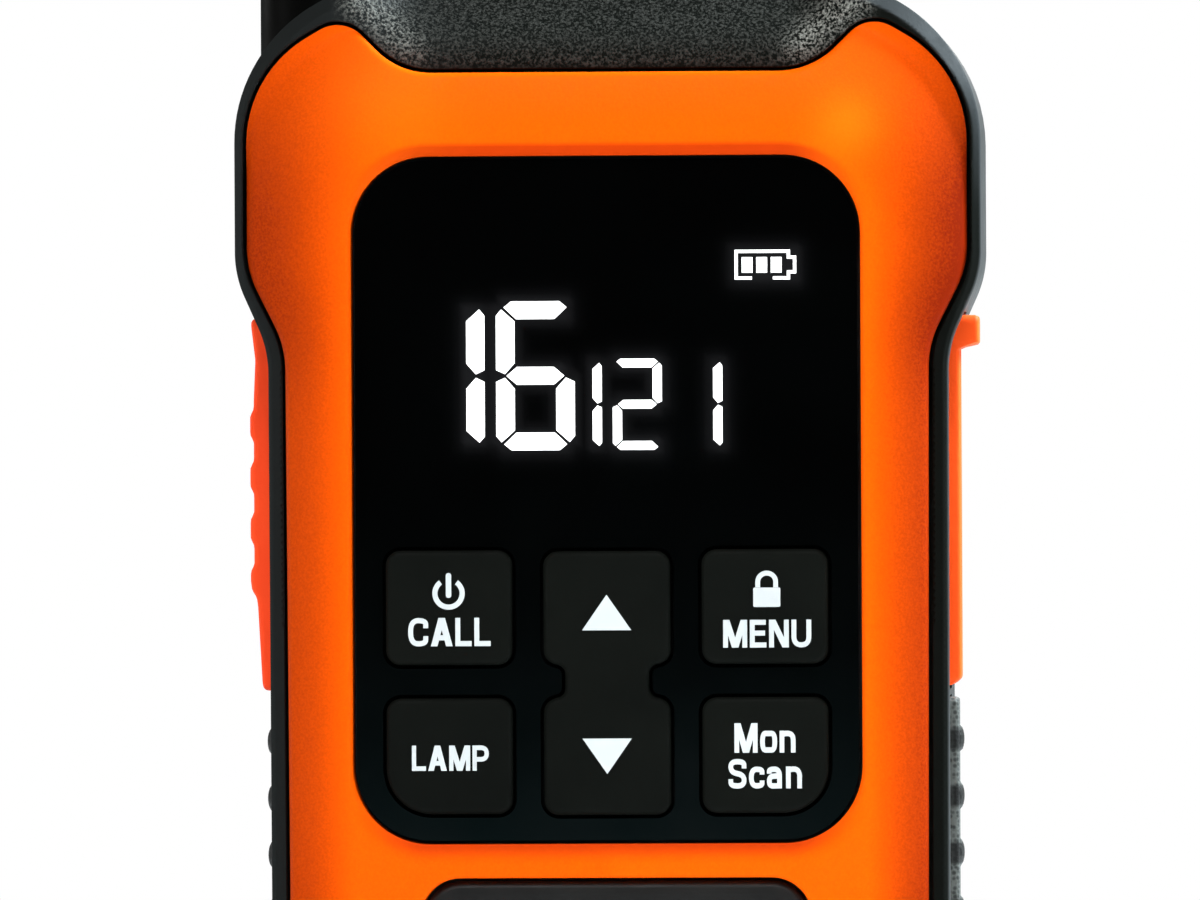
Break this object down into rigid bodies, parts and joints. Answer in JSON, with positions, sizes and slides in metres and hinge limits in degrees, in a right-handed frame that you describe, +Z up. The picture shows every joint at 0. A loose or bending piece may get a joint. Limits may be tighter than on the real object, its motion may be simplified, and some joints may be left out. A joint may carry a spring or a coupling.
{
  "type": "portable radio",
  "caption": "Waterproof handheld two-way radio with an orange face plate, display and key panel, side talk button, socket cover, antenna, removable battery and belt clip.",
  "frame": {"origin": "centre of the flat base, on the underside of the rear housing", "axes": "+Z up along the antenna, the front with its display faces -Y, +X to the right seen from the front"},
  "size_m": [0.0606, 0.042, 0.175],
  "materials": {
    "black_shell": "fine grained black moulded plastic",
    "orange_face": "satin orange moulded plastic with a faint grain",
    "gloss_panel": "polished black window panel",
    "key_rubber": "matt dark keys with white markings",
    "grille_plastic": "satin charcoal plastic",
    "orange_rubber": "soft matt orange-red rubber",
    "grip_rubber": "matt black rubber",
    "antenna_rubber": "satin black antenna sheath",
    "seal_rubber": "black silicone seal",
    "board_green": "green circuit board",
    "lcd_glass": "dark display glass",
    "white_plastic": "white diffuser plastic",
    "steel": "bright steel",
    "spring_steel": "spring steel",
    "brass": "gold-plated contact metal",
    "black_inner": "plain black inner plastic",
    "clear_lens": "clear torch lens",
    "reflector": "bright plated reflector"
  },
  "bodies": {
    "housing": {"antenna": "antenna_rubber", "antenna_stud": "brass", "battery_contact_left": "brass", "battery_contact_right": "brass", "call_switch": "steel", "display_lens": "gloss_panel", "down_switch": "steel", "earpiece_jack": "black_inner", "front_bezel": "orange_face", "front_housing": "black_shell", "housing_screw_lower_left": "steel", "housing_screw_lower_right": "steel", "housing_screw_upper_left": "steel", "housing_screw_upper_right": "steel", "housing_seal": "seal_rubber", "keypad_mat": "seal_rubber", "lamp_switch": "steel", "lcd_backlight": "white_plastic", "lcd_module": "lcd_glass", "main_board": "board_green", "menu_switch": "steel", "microphone": "steel", "ptt_switch": "black_inner", "rear_housing": "black_shell", "rf_shield": "steel", "scan_switch": "steel", "side_grip_left": "grip_rubber", "side_grip_right": "grip_rubber", "speaker": "steel", "speaker_grille": "grille_plastic", "speaker_screen": "seal_rubber", "torch_led": "white_plastic", "torch_lens": "clear_lens", "torch_reflector": "reflector", "up_switch": "steel", "usb_socket": "steel"},
    "call_key": {"call_key": "key_rubber"},
    "menu_key": {"menu_key": "key_rubber"},
    "lamp_key": {"lamp_key": "key_rubber"},
    "scan_key": {"scan_key": "key_rubber"},
    "up_down_key": {"up_down_key": "key_rubber"},
    "ptt_button": {"ptt_button": "orange_rubber"},
    "accessory_cover": {"accessory_cover": "orange_rubber"},
    "battery": {"battery_pack": "black_shell", "battery_terminal_left": "brass", "battery_terminal_right": "brass", "clip_base": "black_shell", "clip_pin": "steel", "clip_spring": "spring_steel", "clip_screw_left": "steel", "clip_screw_right": "steel"},
    "battery_lock": {"battery_lock": "grille_plastic"},
    "belt_clip": {"belt_clip": "black_shell"}
  },
  "joints": [
    {"name": "call_press", "type": "slide", "parent": "housing", "child": "call_key", "axis": [0, 1, 0], "range_m": [0, 0.0005], "stiffness_N_per_m": 1500},
    {"name": "menu_press", "type": "slide", "parent": "housing", "child": "menu_key", "axis": [0, 1, 0], "range_m": [0, 0.0005], "stiffness_N_per_m": 1500},
    {"name": "lamp_press", "type": "slide", "parent": "housing", "child": "lamp_key", "axis": [0, 1, 0], "range_m": [0, 0.0005], "stiffness_N_per_m": 1500},
    {"name": "scan_press", "type": "slide", "parent": "housing", "child": "scan_key", "axis": [0, 1, 0], "range_m": [0, 0.0005], "stiffness_N_per_m": 1500},
    {"name": "up_down_rock", "type": "hinge", "parent": "housing", "child": "up_down_key", "pos_m": [0, -0.0156, 0.061], "axis": [1, 0, 0], "range_deg": [-3, 3], "stiffness_Nm_per_rad": 0.18},
    {"name": "ptt_press", "type": "slide", "parent": "housing", "child": "ptt_button", "axis": [1, 0, 0], "range_m": [0, 0.001], "stiffness_N_per_m": 3000},
    {"name": "accessory_cover_hinge", "type": "hinge", "parent": "housing", "child": "accessory_cover", "pos_m": [0.02757, -0.0027, 0.06137], "axis": [0, 1, 0], "range_deg": [0, 110]},
    {"name": "battery_lift_off", "type": "slide", "parent": "housing", "child": "battery", "axis": [0, 1, 0], "range_m": [0, 0.04]},
    {"name": "battery_lock_turn", "type": "hinge", "parent": "battery", "child": "battery_lock", "pos_m": [0, 0.016, 0.0072], "axis": [0, 1, 0], "range_deg": [0, 90]},
    {"name": "belt_clip_hinge", "type": "hinge", "parent": "battery", "child": "belt_clip", "pos_m": [0, 0.0209, 0.072], "axis": [1, 0, 0], "range_deg": [0, 12], "stiffness_Nm_per_rad": 0.6, "springref_deg": -14.32}
  ]
}
